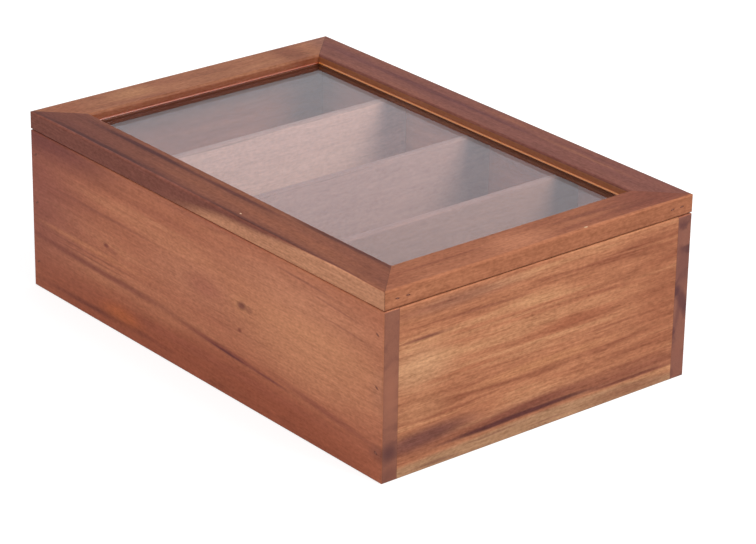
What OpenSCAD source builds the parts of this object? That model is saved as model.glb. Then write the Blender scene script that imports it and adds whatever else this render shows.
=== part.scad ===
// Tea bag box: four bays under a hinged lid, which is a mitred frame round a clear pane.
// Millimetres. X runs along the box, Y from its front to its back, Z up from the table.
// The origin is the middle of the underside.

/* [Body] */
// Outer length of the body
box_l = 319.8; // [280:0.1:380]
// Outer width of the body, front to back
box_w = 215.8; // [180:0.1:260]
// Height of the walls
box_h = 97.2; // [80:0.1:120]
// Thickness of the walls
wall_t = 10; // [9:0.5:13]
// Rounding of the body's outer edges
body_edge_r = 1; // [0.4:0.1:2]
// Rounding of the inner edges of the rim
rim_edge_r = 0.6; // [0.2:0.1:1]

/* [Base] */
// Thickness of the base panel
base_t = 4; // [3:0.5:6]
// Width of the rebate in the walls that holds the base panel
base_rebate = 5; // [3:0.5:6]
// Play between the base panel and its rebate
base_play = 0.2; // [0.1:0.05:0.4]

/* [Dividers] */
// Thickness of a divider
divider_t = 5; // [3:0.5:7]
// Drop from the rim to a divider's top
divider_drop = 0.5; // [0.2:0.1:4]
// Depth of the housings in the long walls that hold the dividers
housing_depth = 2; // [1:0.25:2.5]
// Play between a divider and its housing, on each side
divider_play = 0.1; // [0.05:0.05:0.2]
// Rounding of a divider's top edges
divider_edge_r = 0.8; // [0.2:0.1:1.2]
// Extra length of the left bay over the other three
left_bay_extra = 4; // [0:0.5:10]

/* [Lid] */
// Thickness of the lid
lid_t = 10.8; // [9:0.1:14]
// Reach of the lid past the body on every side
lid_overhang = 0.1; // [0.1:0.1:1.5]
// Gap between the rim and the closed lid
seam_gap = 0.4; // [0.3:0.05:0.8]
// Width of the lid's rails
rail_w = 25; // [20:0.5:32]
// Rounding of the lid's outer edges
lid_edge_r = 1.2; // [0.4:0.1:2]
// Rounding of the rails' inner top edges
sight_edge_r = 1.5; // [0.2:0.1:2]

/* [Window] */
// Depth of the straight lip above the bead
lip_h = 4.3; // [2:0.1:5]
// Radius of the bead round the pane
bead_r = 0.8; // [0.5:0.1:1.6]
// Thickness of the pane
pane_t = 3; // [1.5:0.1:3.5]
// Depth of the groove that holds the pane, from the face of the bead
groove_depth = 6; // [4:0.5:8]
// Play above the pane in its groove
pane_fit = 0.1; // [0.05:0.05:0.3]
// Room between the pane's edge and the bottom of its groove
pane_play = 0.5; // [0.2:0.1:1]

/* [Hinges] */
// Length of a hinge
hinge_l = 30; // [24:1:36]
// Distance from the body's end to the middle of a hinge
hinge_inset = 60; // [45:1:75]
// Thickness of a hinge leaf
leaf_t = 1.2; // [1:0.1:1.6]
// Wood left between a hinge leaf and the inside of the wall
leaf_margin = 3; // [3:0.25:4]
// Outer radius of a hinge's knuckles
knuckle_r = 2; // [1.8:0.1:2.4]
// Length of the lid's knuckle, in the middle of the hinge
knuckle_l = 12; // [8:1:14]
// Clearance round a knuckle
knuckle_clear = 0.3; // [0.25:0.05:0.5]
// Clearance between the ends of the knuckles
knuckle_gap = 0.2; // [0.1:0.05:0.4]
// Thickness of the heels that stop the lid
heel_t = 1.4; // [1:0.1:2]
// Angle to which the heels let the lid open
stop_angle = 100; // [92:1:110]
// Angle left between the heels when the lid is fully open
heel_slack = 1.5; // [1:0.5:3]
// Radius of the hinge pin
pin_r = 1; // [0.8:0.05:1.2]
// Running clearance round the hinge pin
pin_fit = 0.04; // [0.02:0.01:0.08]

/* [Screws] */
// Distance between the two screws of a leaf
screw_pitch = 18; // [14:1:22]
// Length of a hinge screw
screw_l = 7; // [5:0.5:8]
// Radius of a hinge screw's shank
screw_r = 1; // [0.8:0.05:1.2]
// Radius of a hinge screw's countersunk head
screw_head_r = 1.9; // [1.6:0.1:2.2]
// Depth of a hinge screw's countersunk head
screw_head_h = 1; // [0.7:0.1:1.2]
// Clearance round a hinge screw
screw_play = 0.05; // [0.02:0.01:0.08]

/* [Brads] */
// Radius of a brad
brad_r = 0.6; // [0.5:0.05:0.8]
// Clearance round a brad
brad_play = 0.03; // [0.02:0.01:0.06]
// Depth at which a brad's head lies below the wood
brad_sink = 0.6; // [0.3:0.1:1]
// Length of the brads in the walls and the lid
brad_l = 22; // [18:1:26]
// Height of the lowest brad in a wall
brad_low = 16.5; // [12:0.5:24]
// Height of the middle brad in a wall
brad_mid = 53.5; // [40:0.5:58]
// Distance from the rim to the highest brad in a wall
brad_top = 14; // [10:0.5:20]
// Distance from the lid's corner to the first brad of a mitre
mitre_brad_near = 8.5; // [7:0.5:10]
// Distance between the two brads of a mitre
mitre_brad_step = 7; // [5:0.5:7.5]
// Length of the brads in the base panel
base_brad_l = 14; // [10:1:18]
// Distance from the body's corner to the outermost brads of the base panel
base_brad_inset = 40; // [30:1:60]

/* [Hidden] */

$fn = 48;

// Overshoot of a cut past the face that it opens
cut = 1;

inner_l = box_l - 2 * wall_t;
inner_w = box_w - 2 * wall_t;

pocket_l = inner_l + 2 * base_rebate;
pocket_w = inner_w + 2 * base_rebate;

bay_l = (inner_l - 3 * divider_t - left_bay_extra) / 4;
// Middle of divider number n, counted from the right
function divider_x(n) = inner_l / 2 - (n + 1) * (bay_l + divider_t) + divider_t / 2;
divider_top = box_h - divider_drop;

lid_l = box_l + 2 * lid_overhang;
lid_w = box_w + 2 * lid_overhang;
lid_z = box_h + seam_gap;

// Distance from a rail's outer face to the face of its bead
sight_w = rail_w + bead_r;
pane_z = lid_t - lip_h - bead_r - pane_fit - pane_t;
groove_h = pane_t + pane_fit;
pane_l = lid_l - 2 * (sight_w - groove_depth + pane_play);
pane_w = lid_w - 2 * (sight_w - groove_depth + pane_play);

// The pin lies clear of the lid's back face, at the middle of the seam
axis_out = knuckle_r + knuckle_clear + lid_overhang;
axis_y = box_w / 2 + axis_out;
axis_z = box_h + seam_gap / 2;
hinge_x = box_l / 2 - hinge_inset;
leaf_w = wall_t - leaf_margin;
leaf_end = axis_out + leaf_w;
screw_y = axis_out + leaf_w / 2;
clear_r = knuckle_r + knuckle_clear;
heel_r = clear_r + heel_t;
heel_angle = (stop_angle + heel_slack) / 2;
side_knuckle_l = (hinge_l - knuckle_l) / 2 - knuckle_gap;

brad_heights = [brad_low, brad_mid, box_h - brad_top];
mitre_brads = [mitre_brad_near, mitre_brad_near + mitre_brad_step];
mitre_brad_z = lid_z + lid_t / 2;
base_brad_y = pocket_w / 2 - base_rebate / 2;
base_brad_x = pocket_l / 2 - base_rebate / 2;
base_row_x = box_l / 2 - base_brad_inset;
base_row_y = box_w / 2 - base_brad_inset;
base_brad_places = concat(
    [for (n = [-1.5 : 1.5], side = [-1, 1]) [n * base_row_x / 1.5, side * base_brad_y]],
    [for (n = [-1, 1], side = [-1, 1]) [side * base_brad_x, n * base_row_y]]
);

// Rectangle about the origin with true round corners
module round_rect(l, w, r) {
    square([l - 2 * r, w], center = true);
    square([l, w - 2 * r], center = true);
    for (x = [-1, 1], y = [-1, 1]) {
        translate([x * (l / 2 - r), y * (w / 2 - r)]) circle(r);
    }
}

// Block with every outer edge rounded, its underside at z = 0
module eased_block(l, w, h, r) {
    translate([0, 0, h / 2]) intersection() {
        linear_extrude(h, center = true) round_rect(l, w, r);
        rotate([90, 0, 0]) linear_extrude(w, center = true) round_rect(l, h, r);
        rotate([90, 0, 90]) linear_extrude(l, center = true) round_rect(w, h, r);
    }
}

// Section to cut away from an edge so that it comes out round; the edge is at the origin
module edge_section(r) {
    difference() {
        translate([-r, -r]) square(r + cut);
        translate([-r, -r]) circle(r);
        translate([-r - cut, -2 * r - cut]) square([cut, 2 * r + 2 * cut]);
        translate([-2 * r - cut, -r - cut]) square([2 * r + 2 * cut, cut]);
    }
}

// Outer shape of the four walls, with the inside of the rim eased
module body_blank() {
    difference() {
        eased_block(box_l, box_w, box_h, body_edge_r);
        translate([0, 0, box_h]) {
            for (side = [0, 180]) {
                rotate([0, 0, side]) translate([0, -inner_w / 2, 0]) rotate([90, 0, 90])
                    linear_extrude(inner_l, center = true) edge_section(rim_edge_r);
            }
            for (side = [0, 180]) {
                rotate([0, 0, side]) translate([-inner_l / 2, 0, 0]) rotate([90, 0, 0])
                    linear_extrude(inner_w, center = true) edge_section(rim_edge_r);
            }
        }
        wall_brad_holes();
        base_brad_holes();
        translate([0, 0, -cut]) linear_extrude(base_t + cut) square([pocket_l, pocket_w], center = true);
    }
}

// Long walls run the full length of the box
module long_wall(side) {
    difference() {
        intersection() {
            body_blank();
            translate([-box_l / 2, side * (box_w - wall_t) / 2 - wall_t / 2, 0]) cube([box_l, wall_t, box_h]);
        }
        for (n = [0 : 2]) {
            translate([divider_x(n), side * inner_w / 2, base_t]) divider_housing();
        }
    }
}

// Short walls stand between the long ones
module short_wall(side) {
    intersection() {
        body_blank();
        translate([side * (box_l - wall_t) / 2 - wall_t / 2, -inner_w / 2, 0]) cube([wall_t, inner_w, box_h]);
    }
}

// Upright slot for one end of a divider, open at the rim
module divider_housing() {
    slot_w = divider_t + 2 * divider_play;
    translate([-slot_w / 2, -housing_depth, 0]) cube([slot_w, 2 * housing_depth, box_h]);
}

module divider(n) {
    length = inner_w + 2 * (housing_depth - divider_play);
    height = divider_top - base_t;
    translate([divider_x(n), 0, base_t]) rotate([90, 0, 0]) linear_extrude(length, center = true) {
        translate([-divider_t / 2, 0]) square([divider_t, height - divider_edge_r]);
        translate([-divider_t / 2 + divider_edge_r, 0]) square([divider_t - 2 * divider_edge_r, height]);
        for (side = [-1, 1]) {
            translate([side * (divider_t / 2 - divider_edge_r), height - divider_edge_r]) circle(divider_edge_r);
        }
    }
}

// Section of a lid rail: x runs inwards from the outer face, y up from the underside
module rail_section() {
    bead_z = lid_t - lip_h - bead_r;
    difference() {
        union() {
            translate([rail_w / 2, lid_t / 2]) square([rail_w - 2 * lid_edge_r, lid_t], center = true);
            translate([0, lid_edge_r]) square([rail_w / 2, lid_t - 2 * lid_edge_r]);
            for (y = [lid_edge_r, lid_t - lid_edge_r]) {
                translate([lid_edge_r, y]) circle(lid_edge_r);
            }
            translate([rail_w / 2, 0]) square([rail_w / 2, lid_t - sight_edge_r]);
            translate([rail_w / 2, 0]) square([rail_w / 2 - sight_edge_r, lid_t]);
            translate([rail_w - sight_edge_r, lid_t - sight_edge_r]) circle(sight_edge_r);
            translate([rail_w / 2, 0]) square([rail_w / 2 + bead_r, bead_z]);
            translate([rail_w, bead_z]) circle(bead_r);
        }
        translate([sight_w - groove_depth, pane_z]) square([groove_depth + cut, groove_h]);
    }
}

// Rail along X with 45 degree mitres, its outer face at y = 0; across is the lid's other dimension
module rail(length, across) {
    intersection() {
        rotate([90, 0, 90]) linear_extrude(length, center = true) rail_section();
        linear_extrude(lid_t) polygon([
            [-length / 2, 0], [length / 2, 0],
            [length / 2 - sight_w - cut, sight_w + cut], [-length / 2 + sight_w + cut, sight_w + cut]
        ]);
        translate([0, across / 2, 0]) linear_extrude(lid_t) round_rect(length, across, lid_edge_r);
    }
}

module long_rail(turn) {
    difference() {
        translate([0, 0, lid_z]) rotate([0, 0, turn]) translate([0, -lid_w / 2, 0]) rail(lid_l, lid_w);
        lid_brad_holes();
    }
}

module short_rail(turn) {
    difference() {
        translate([0, 0, lid_z]) rotate([0, 0, turn]) translate([0, -lid_l / 2, 0]) rail(lid_w, lid_l);
        lid_brad_holes();
    }
}

// Places children at every wall brad, with +Z pointing inwards from the face of the long wall
module at_wall_brads() {
    for (x = [-1, 1], y = [-1, 1], z = brad_heights) {
        translate([x * (box_l - wall_t) / 2, y * box_w / 2, z]) rotate([y * 90, 0, 0]) children();
    }
}

// Places children at every lid brad, with +Z pointing inwards from the end of the lid
module at_lid_brads() {
    for (x = [-1, 1], y = [-1, 1], d = mitre_brads) {
        translate([x * lid_l / 2, y * (lid_w / 2 - d), mitre_brad_z]) rotate([0, -x * 90, 0]) children();
    }
}

module at_base_brads() {
    for (p = base_brad_places) {
        translate(p) children();
    }
}

module brad(length) {
    translate([0, 0, brad_sink]) cylinder(h = length, r = brad_r);
}

module brad_hole(length) {
    translate([0, 0, -cut]) cylinder(h = length + brad_sink + brad_play + cut, r = brad_r + brad_play);
}

module wall_brad_holes() {
    at_wall_brads() brad_hole(brad_l);
}

module lid_brad_holes() {
    at_lid_brads() brad_hole(brad_l);
}

module base_brad_holes() {
    at_base_brads() brad_hole(base_brad_l);
}

// Places children on the pin's axis at the middle of a hinge; side is -1 for the left one
module at_hinge(side) {
    translate([side * hinge_x, axis_y, axis_z]) children();
}

// Places children at the two screws of a leaf, at the leaf's outer face; up is 1 for the lid's leaf
module at_screws(up) {
    for (x = [-1, 1]) {
        translate([x * screw_pitch / 2, -screw_y, up * seam_gap / 2]) rotate([up > 0 ? 0 : 180, 0, 0]) children();
    }
}

// Section of the space on one side of the seam, from the leaf's front edge to the heel
module leaf_section(up, knuckle_range) {
    wedge = 2 * heel_r;
    back = up > 0 ? axis_out - lid_overhang : axis_out;
    mirror([0, up > 0 ? 0 : 1]) {
        difference() {
            union() {
                translate([-leaf_end, seam_gap / 2]) square([leaf_end, leaf_t]);
                intersection() {
                    circle(heel_r);
                    translate([-back, seam_gap / 2]) square([back + heel_r, heel_r]);
                    polygon([
                        [0, 0], [wedge * cos(heel_angle), wedge * sin(heel_angle)], [-wedge, wedge], [-wedge, 0]
                    ]);
                }
            }
            if (!knuckle_range) circle(clear_r);
        }
        if (knuckle_range) circle(knuckle_r);
    }
}

module along_hinge(length) {
    rotate([90, 0, 90]) linear_extrude(length, center = true) children();
}

module pin_bore() {
    rotate([0, 90, 0]) cylinder(h = hinge_l + 2 * cut, r = pin_r + pin_fit, center = true);
}

// Leaf in the rim: a knuckle at each end and a saddle under the lid's knuckle
module box_leaf(side) {
    at_hinge(side) difference() {
        union() {
            along_hinge(knuckle_l + 2 * knuckle_gap) leaf_section(-1, false);
            for (x = [-1, 1]) {
                translate([x * (hinge_l - side_knuckle_l) / 2, 0, 0])
                    along_hinge(side_knuckle_l) leaf_section(-1, true);
            }
        }
        pin_bore();
        at_screws(-1) screw_hole();
    }
}

// Leaf in the lid: one knuckle in the middle, with the heel that meets the saddle
module lid_leaf(side) {
    at_hinge(side) difference() {
        union() {
            along_hinge(knuckle_l) leaf_section(1, true);
            along_hinge(hinge_l) intersection() {
                leaf_section(1, false);
                translate([-leaf_end, 0]) square([leaf_end - axis_out + lid_overhang, leaf_t + seam_gap / 2]);
            }
        }
        pin_bore();
        at_screws(1) screw_hole();
    }
}

module hinge_pin(side) {
    at_hinge(side) rotate([0, 90, 0]) cylinder(h = hinge_l, r = pin_r, center = true);
}

// Room in the wood for a leaf, open at the back
module leaf_mortise(up) {
    for (side = [-1, 1]) {
        at_hinge(side) mirror([0, 0, up > 0 ? 0 : 1])
            translate([-hinge_l / 2, -leaf_end, 0]) cube([hinge_l, leaf_end, seam_gap / 2 + leaf_t]);
        at_hinge(side) at_screws(up) screw_hole();
    }
}

// Countersunk screw, its head at z = 0 and its point up; play widens it into its own hole
module screw_shape(play) {
    rotate_extrude() polygon([
        [0, -play], [screw_head_r + play, -play], [screw_head_r + play, 0], [screw_r + play, screw_head_h],
        [screw_r + play, screw_l - screw_r], [play, screw_l + play], [0, screw_l + play]
    ]);
}

module hinge_screw() {
    screw_shape(0);
}

module screw_hole() {
    screw_shape(screw_play);
}

module front_wall() { color("#a0603c") long_wall(-1); }

module back_wall() {
    color("#94563a") difference() {
        long_wall(1);
        leaf_mortise(-1);
    }
}

module left_wall() { color("#a5663f") short_wall(-1); }
module right_wall() { color("#b0713f") short_wall(1); }

module base_panel() {
    color("#c9a47e") difference() {
        linear_extrude(base_t) square([pocket_l - 2 * base_play, pocket_w - 2 * base_play], center = true);
        base_brad_holes();
    }
}

module divider_left() { color("#c8b2a0") divider(2); }
module divider_middle() { color("#c4ac9a") divider(1); }
module divider_right() { color("#c0a896") divider(0); }
module wall_brads() { color("#6b5a50") at_wall_brads() brad(brad_l); }
module base_brads() { color("#6b5a50") at_base_brads() brad(base_brad_l); }

module lid_front_rail() { color("#8a5040") long_rail(0); }

module lid_back_rail() {
    color("#8a5548") difference() {
        long_rail(180);
        leaf_mortise(1);
    }
}

module lid_left_rail() { color("#a2694c") short_rail(-90); }
module lid_right_rail() { color("#a0603f") short_rail(90); }

module window_pane() {
    color("#b8c4cc", 0.35) translate([0, 0, lid_z + pane_z])
        linear_extrude(pane_t) square([pane_l, pane_w], center = true);
}

module lid_brads() { color("#6b5a50") at_lid_brads() brad(brad_l); }

module left_hinge_box_leaf() { color("#c9a552") box_leaf(-1); }
module left_hinge_lid_leaf() { color("#d0ad5c") lid_leaf(-1); }
module left_hinge_pin() { color("#b8944a") hinge_pin(-1); }
module right_hinge_box_leaf() { color("#c9a552") box_leaf(1); }
module right_hinge_lid_leaf() { color("#d0ad5c") lid_leaf(1); }
module right_hinge_pin() { color("#b8944a") hinge_pin(1); }

module box_hinge_screws() {
    color("#bf9a4c") for (side = [-1, 1]) {
        at_hinge(side) at_screws(-1) hinge_screw();
    }
}

module lid_hinge_screws() {
    color("#bf9a4c") for (side = [-1, 1]) {
        at_hinge(side) at_screws(1) hinge_screw();
    }
}

front_wall();
back_wall();
left_wall();
right_wall();
base_panel();
divider_left();
divider_middle();
divider_right();
wall_brads();
base_brads();
lid_front_rail();
lid_back_rail();
lid_left_rail();
lid_right_rail();
window_pane();
lid_brads();
left_hinge_box_leaf();
left_hinge_lid_leaf();
left_hinge_pin();
right_hinge_box_leaf();
right_hinge_lid_leaf();
right_hinge_pin();
box_hinge_screws();
lid_hinge_screws();
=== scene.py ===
"""Looks of a wooden tea bag box with a glazed lid: finishes, small hardware, light and camera.

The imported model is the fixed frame. Sizes in the classes and patches are millimetres, and MM turns them into the
metres of the scene.
"""

import logging
import math
from collections.abc import Iterable
from dataclasses import dataclass, field
from enum import Enum

import bmesh
import bpy
from mathutils import Matrix, Vector


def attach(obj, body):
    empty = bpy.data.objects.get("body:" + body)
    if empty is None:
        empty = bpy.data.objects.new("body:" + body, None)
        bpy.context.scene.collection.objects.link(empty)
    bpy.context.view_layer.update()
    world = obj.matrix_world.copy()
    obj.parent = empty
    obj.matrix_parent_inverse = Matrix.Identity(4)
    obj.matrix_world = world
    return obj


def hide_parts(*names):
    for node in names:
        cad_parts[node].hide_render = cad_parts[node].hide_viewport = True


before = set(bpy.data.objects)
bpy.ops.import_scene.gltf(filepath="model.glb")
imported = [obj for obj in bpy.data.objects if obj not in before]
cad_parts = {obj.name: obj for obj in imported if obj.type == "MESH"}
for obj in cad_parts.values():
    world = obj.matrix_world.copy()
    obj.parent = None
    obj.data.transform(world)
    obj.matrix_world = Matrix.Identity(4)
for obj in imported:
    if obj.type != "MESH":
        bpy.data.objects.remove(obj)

LOG = logging.getLogger("tea_box")
MM = 0.001

Triple = tuple[float, float, float]
Shade = tuple[int, int, int]
Socket = bpy.types.NodeSocket

# How far a patch on a wall's face reaches to both sides of it.
THROUGH = 40

# Brads: heights in the walls' corners, and distances from the lid's middle at its mitres.
WALL_BRADS = (16.5, 53.5, 83.2)
LID_BRADS = (99.5, 92.5)
LID_BRAD_HEIGHT = 103.0

# Kinds and defaults of sockets that several groups share.
WOOD = ("Color", (0.5, 0.25, 0.12, 1))
PLACE = ("Vector", None)
ALONG = ("Vector", (1, 0, 0))
HALVES = (0.5, 0.5, 0.5)


class Axis(Enum):
    """Direction of the grain or of the brushing."""

    X = (1.0, 0.0, 0.0)
    Y = (0.0, 1.0, 0.0)


class BodyName(Enum):
    """The two bodies that the hinge joins."""

    BOX = "box"
    LID = "lid"


class Slot(Enum):
    """Material slots of the record, passed with the new pieces but not given to them."""

    WALL = "wall_wood"
    RAIL = "rail_wood"
    DIVIDER = "divider_wood"
    BRASS = "brass"
    STEEL = "steel"


def tone(red: int, green: int, blue: int) -> tuple[float, float, float, float]:
    """Turns a display colour of 0 to 255 into the linear colour that a shader takes.

    Args:
        red: Red of the display colour.
        green: Green of the display colour.
        blue: Blue of the display colour.

    Returns:
        Linear red, green, blue and an alpha of 1.
    """

    def linear(value: int) -> float:
        """Returns one channel made linear."""
        share = value / 255
        return share / 12.92 if share <= 0.04045 else ((share + 0.055) / 1.055) ** 2.4

    return linear(red), linear(green), linear(blue), 1.0


class Graph:
    """Adds nodes to one tree and wires them."""

    def __init__(self, tree: bpy.types.NodeTree) -> None:
        """Keeps the tree that nodes go into."""
        self.tree = tree

    def add(self, kind: str, wires: dict | None = None, **settings) -> bpy.types.Node:
        """Adds one node.

        Args:
            kind: Blender's name of the node type.
            wires: Input name or number to a socket that feeds it or a plain value.
            **settings: Attributes of the node, set before its inputs.

        Returns:
            The new node.
        """
        node = self.tree.nodes.new(kind)
        for name, value in settings.items():
            setattr(node, name, value)
        for key, value in (wires or {}).items():
            self.feed(node.inputs[key], value)
        return node

    def feed(self, target: Socket, value: object) -> None:
        """Links value to target if it is a socket, and otherwise sets it as the plain value."""
        if isinstance(value, bpy.types.NodeSocket):
            self.tree.links.new(value, target)
        else:
            target.default_value = value

    def group(self, tree: bpy.types.NodeTree, wires: dict) -> bpy.types.Node:
        """Places a shader node group and wires it."""
        return self.add("ShaderNodeGroup", wires, node_tree=tree)

    def math(self, operation: str, first: object, second: object = 0.0, clamp: bool = False) -> Socket:
        """Returns the result of a Math node on one or two numbers."""
        node = self.add("ShaderNodeMath", {0: first}, operation=operation, use_clamp=clamp)
        self.feed(node.inputs[1], second)
        return node.outputs[0]

    def times(self, first: object, second: object) -> Socket:
        """Returns the product of two numbers."""
        return self.math("MULTIPLY", first, second)

    def plus(self, first: object, second: object) -> Socket:
        """Returns the sum of two numbers."""
        return self.math("ADD", first, second)

    def minus(self, first: object, second: object) -> Socket:
        """Returns the first number less the second."""
        return self.math("SUBTRACT", first, second)

    def vector(self, operation: str, first: object, second: object = (0, 0, 0)) -> bpy.types.Node:
        """Returns a Vector Math node on one or two vectors."""
        return self.add("ShaderNodeVectorMath", {0: first, 1: second}, operation=operation)

    def scaled(self, vector: object, factor: object) -> Socket:
        """Returns vector times one number."""
        node = self.add("ShaderNodeVectorMath", {0: vector, "Scale": factor}, operation="SCALE")
        return node.outputs[0]

    def remap(self, value: object, start: object, end: object, low: float = 0.0, high: float = 1.0) -> Socket:
        """Returns value eased from low at start to high at end."""
        node = self.add(
            "ShaderNodeMapRange", {0: value, 1: start, 2: end, 3: low, 4: high}, interpolation_type="SMOOTHSTEP"
        )
        return node.outputs[0]

    def ramp(self, value: object, start: float, end: float) -> Socket:
        """Returns 0 before start, 1 after end and a straight rise between them."""
        return self.add("ShaderNodeMapRange", {0: value, 1: start, 2: end}).outputs[0]

    def triple(self, x: object, y: object, z: object) -> Socket:
        """Returns a vector of three numbers."""
        return self.add("ShaderNodeCombineXYZ", {0: x, 1: y, 2: z}).outputs[0]

    def blend(self, share: object, first: object, second: object, mode: str = "MIX") -> Socket:
        """Returns two colours mixed by share."""
        node = self.add("ShaderNodeMix", {0: share, 6: first, 7: second}, data_type="RGBA", blend_type=mode)
        return node.outputs[2]

    def noise(self, vector: Socket, detail: float = 2.0, roughness: float = 0.5, twist: float = 0.0) -> bpy.types.Node:
        """Returns a Noise Texture node whose cells are one unit of the vector wide."""
        wires = {"Vector": vector, "Scale": 1.0, "Detail": detail, "Roughness": roughness, "Distortion": twist}
        return self.add("ShaderNodeTexNoise", wires)

    def stretch(self, vector: Socket, along: Socket, across_mm: float, along_mm: float) -> Socket:
        """Scales millimetres so that one unit is across_mm wide and along_mm long.

        Args:
            vector: The position in millimetres.
            along: Unit vector of the grain.
            across_mm: Width of one cell across the grain.
            along_mm: Length of one cell along the grain.

        Returns:
            The scaled vector.
        """
        more = self.scaled(along, 1 / along_mm - 1 / across_mm)
        scale = self.vector("ADD", more, (1 / across_mm,) * 3).outputs[0]
        return self.vector("MULTIPLY", vector, scale).outputs[0]


def fresh_graph(owner: bpy.types.Material | bpy.types.World) -> Graph:
    """Gives a material or world an empty node tree and returns the tree's graph."""
    owner.use_nodes = True
    owner.node_tree.nodes.clear()
    return Graph(owner.node_tree)


class ShaderGroups:
    """The shader node groups, each built once and shared by the finishes that use it.

    Attributes:
        LAYERS: Width and length of one cell in millimetres, detail, roughness and twist of each layer of the grain.
    """

    LAYERS = {
        "Lines": (1.6, 30, 2.5, 0.6, 0.4),
        "Fibres": (0.7, 9, 2.0, 0.6, 0.0),
        "Flecks": (1.2, 2.6, 1.5, 0.5, 0.0),
        "Mottle": (5.5, 11, 1.5, 0.5, 0.8),
    }

    def __init__(self) -> None:
        """Builds every group."""
        self.figure = self._figure()
        self.patch = self._patch()
        self.fibres = self._fibres()
        self.end_grain = self._end_grain()
        self.edge_wear = self._edge_wear()
        self.joint = self._joint()
        self.lip = self._lip()
        self.tarnish = self._tarnish()

    @staticmethod
    def _open(
        name: str, inputs: dict[str, tuple], outputs: dict[str, str]
    ) -> tuple[Graph, bpy.types.Node, bpy.types.Node]:
        """Starts a group.

        Args:
            name: The group's name.
            inputs: Socket name to its type and default.
            outputs: Socket name to its type.

        Returns:
            The graph, the node that gives the inputs and the node that takes the outputs.
        """
        tree = bpy.data.node_groups.new(name, "ShaderNodeTree")
        for label, (kind, default) in inputs.items():
            socket = tree.interface.new_socket(label, in_out="INPUT", socket_type="NodeSocket" + kind)
            if default is not None:
                socket.default_value = default
        for label, kind in outputs.items():
            tree.interface.new_socket(label, in_out="OUTPUT", socket_type="NodeSocket" + kind)
        graph = Graph(tree)
        return graph, graph.add("NodeGroupInput"), graph.add("NodeGroupOutput")

    def _figure(self) -> bpy.types.NodeTree:
        """Broad tones of the wood: bands that follow the grain, and the sway that bends them."""
        graph, given, made = self._open(
            "Wood figure",
            {
                "Vector": PLACE,
                "Along": ALONG,
                "Offset": ("Vector", (0, 0, 0)),
                "Light": ("Color", (0.5, 0.25, 0.12, 1)),
                "Middle": ("Color", (0.4, 0.18, 0.08, 1)),
                "Dark": ("Color", (0.2, 0.07, 0.04, 1)),
                "Band Width": ("Float", 12.0),
                "Band Contrast": ("Float", 0.5),
                "Sway": ("Float", 3.0),
            },
            {"Color": "Color", "Bent": "Vector"},
        )
        seen = graph.scaled(given.outputs["Vector"], 1 / MM)
        moved = graph.vector("ADD", seen, given.outputs["Offset"]).outputs[0]
        along = given.outputs["Along"]
        slow = graph.noise(graph.stretch(moved, along, 60, 170), 1.5).outputs["Color"]
        quick = graph.noise(graph.stretch(moved, along, 9, 40), 1.5).outputs["Color"]
        sway = graph.scaled(graph.vector("SUBTRACT", slow, HALVES).outputs[0], given.outputs["Sway"])
        ripple = graph.scaled(graph.vector("SUBTRACT", quick, HALVES).outputs[0], 1.6)
        shift = graph.vector("ADD", sway, ripple).outputs[0]
        bent = graph.vector("ADD", seen, shift).outputs[0]
        local = graph.vector("ADD", moved, shift).outputs[0]
        ratio = graph.vector("ADD", graph.scaled(along, 1 / 15 - 1), (1, 1, 1)).outputs[0]
        per_band = graph.scaled(local, graph.math("DIVIDE", 1.0, given.outputs["Band Width"]))
        bands = graph.noise(graph.vector("MULTIPLY", per_band, ratio).outputs[0], 3.0, 0.55, 0.4).outputs[0]
        centred = graph.times(graph.minus(bands, 0.5), given.outputs["Band Contrast"])
        level = graph.math("ADD", graph.times(centred, 3.2), 0.5, clamp=True)
        pale = graph.blend(graph.remap(level, 0.0, 0.55), given.outputs["Light"], given.outputs["Middle"])
        full = graph.blend(graph.remap(level, 0.5, 1.0), pale, given.outputs["Dark"])
        graph.feed(made.inputs["Color"], full)
        graph.feed(made.inputs["Bent"], bent)
        return graph.tree

    def _patch(self) -> bpy.types.NodeTree:
        """One soft area of another tone, an ellipsoid in millimetres: a streak, a knot, a halo, a brad's stain, or
        painted light and shade.
        """
        graph, given, made = self._open(
            "Tone patch",
            {
                "Color": WOOD,
                "Vector": PLACE,
                "Place": ("Vector", (0, 0, 0)),
                "Turn": ("Vector", (0, 0, 0)),
                "Size": ("Vector", (10, 10, 10)),
                "Tint": ("Color", (0.2, 0.07, 0.04, 1)),
                "Strength": ("Float", 0.6),
                "Core": ("Float", 0.1),
            },
            {"Color": "Color"},
        )
        wires = {
            "Vector": given.outputs["Vector"],
            "Location": given.outputs["Place"],
            "Rotation": given.outputs["Turn"],
            "Scale": given.outputs["Size"],
        }
        local = graph.add("ShaderNodeMapping", wires, vector_type="TEXTURE").outputs[0]
        far = graph.vector("LENGTH", local).outputs["Value"]
        mask = graph.remap(far, given.outputs["Core"], 1.0, 1.0, 0.0)
        share = graph.times(mask, given.outputs["Strength"])
        graph.feed(made.inputs["Color"], graph.blend(share, given.outputs["Color"], given.outputs["Tint"]))
        return graph.tree

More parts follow.
